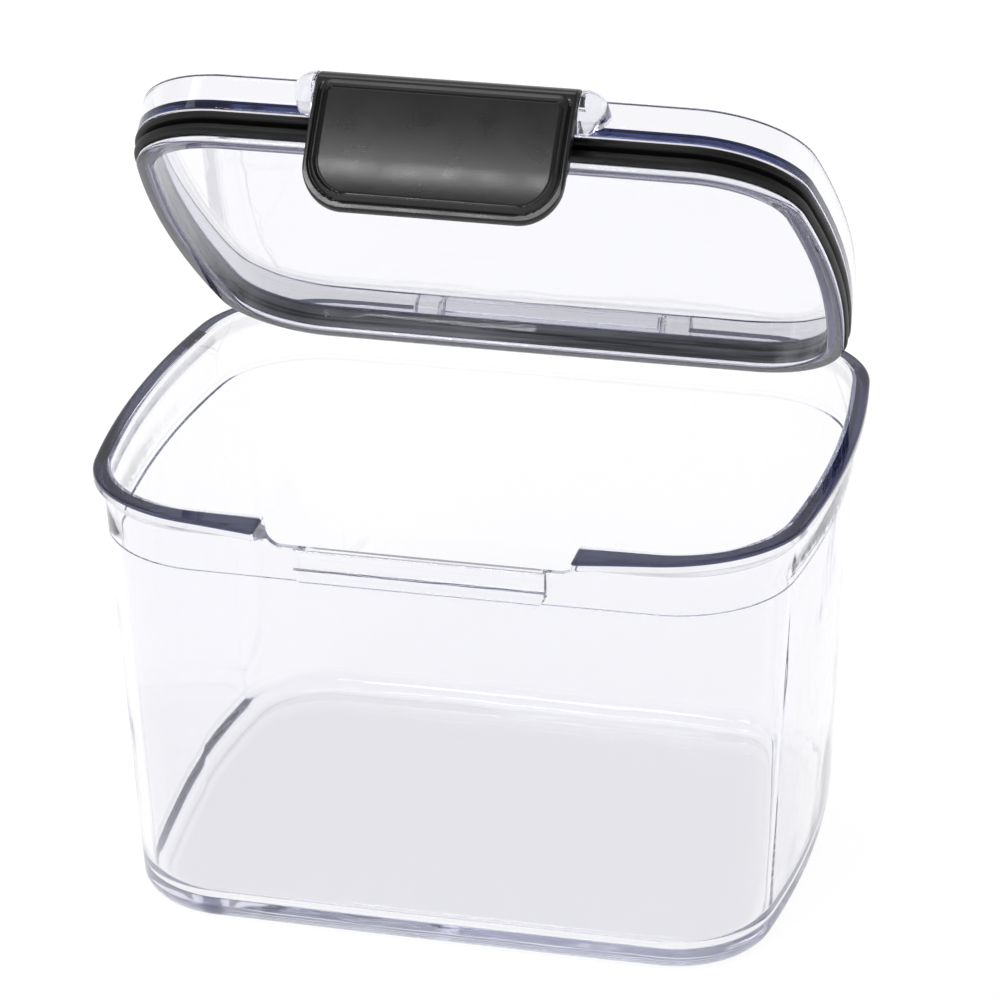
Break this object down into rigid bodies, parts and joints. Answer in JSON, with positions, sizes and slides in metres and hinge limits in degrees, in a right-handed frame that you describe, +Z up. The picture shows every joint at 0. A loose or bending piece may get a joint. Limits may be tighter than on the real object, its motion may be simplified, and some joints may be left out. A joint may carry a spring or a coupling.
{
  "type": "deli meat keeper",
  "caption": "Clear food keeper: a drafted tub with a hinged plug lid, a black seal on a clear retainer, and a black flip latch that hooks under a catch pad on the front.",
  "frame": {"origin": "middle of the tub's flat underside, on the surface it stands on", "axes": "+Z up, -Y towards the front with the latch, +X to the right seen from the front"},
  "size_m": [0.1908, 0.1574, 0.2241],
  "materials": {
    "clear_tub": "polished clear plastic, navy tint at the edges",
    "clear_lid": "polished clear plastic, navy tint at the edges",
    "clear_retainer": "polished clear plastic, navy tint at the edges",
    "seal_rubber": "satin black silicone",
    "latch_plastic": "fine-grained satin black"
  },
  "bodies": {
    "container": {"container": "clear_tub"},
    "lid": {"lid": "clear_lid", "seal_retainer": "clear_retainer", "lid_seal": "seal_rubber"},
    "latch": {"latch": "latch_plastic"}
  },
  "joints": [
    {"name": "lid_hinge", "type": "hinge", "parent": "container", "child": "lid", "pos_m": [0, 0.074, 0.1188], "axis": [-1, 0, 0], "range_deg": [-43.8, 61.2]},
    {"name": "latch_hinge", "type": "hinge", "parent": "lid", "child": "latch", "pos_m": [0, -0.034, 0.22001], "axis": [-1, 0, 0], "range_deg": [-4.5, 105]}
  ]
}
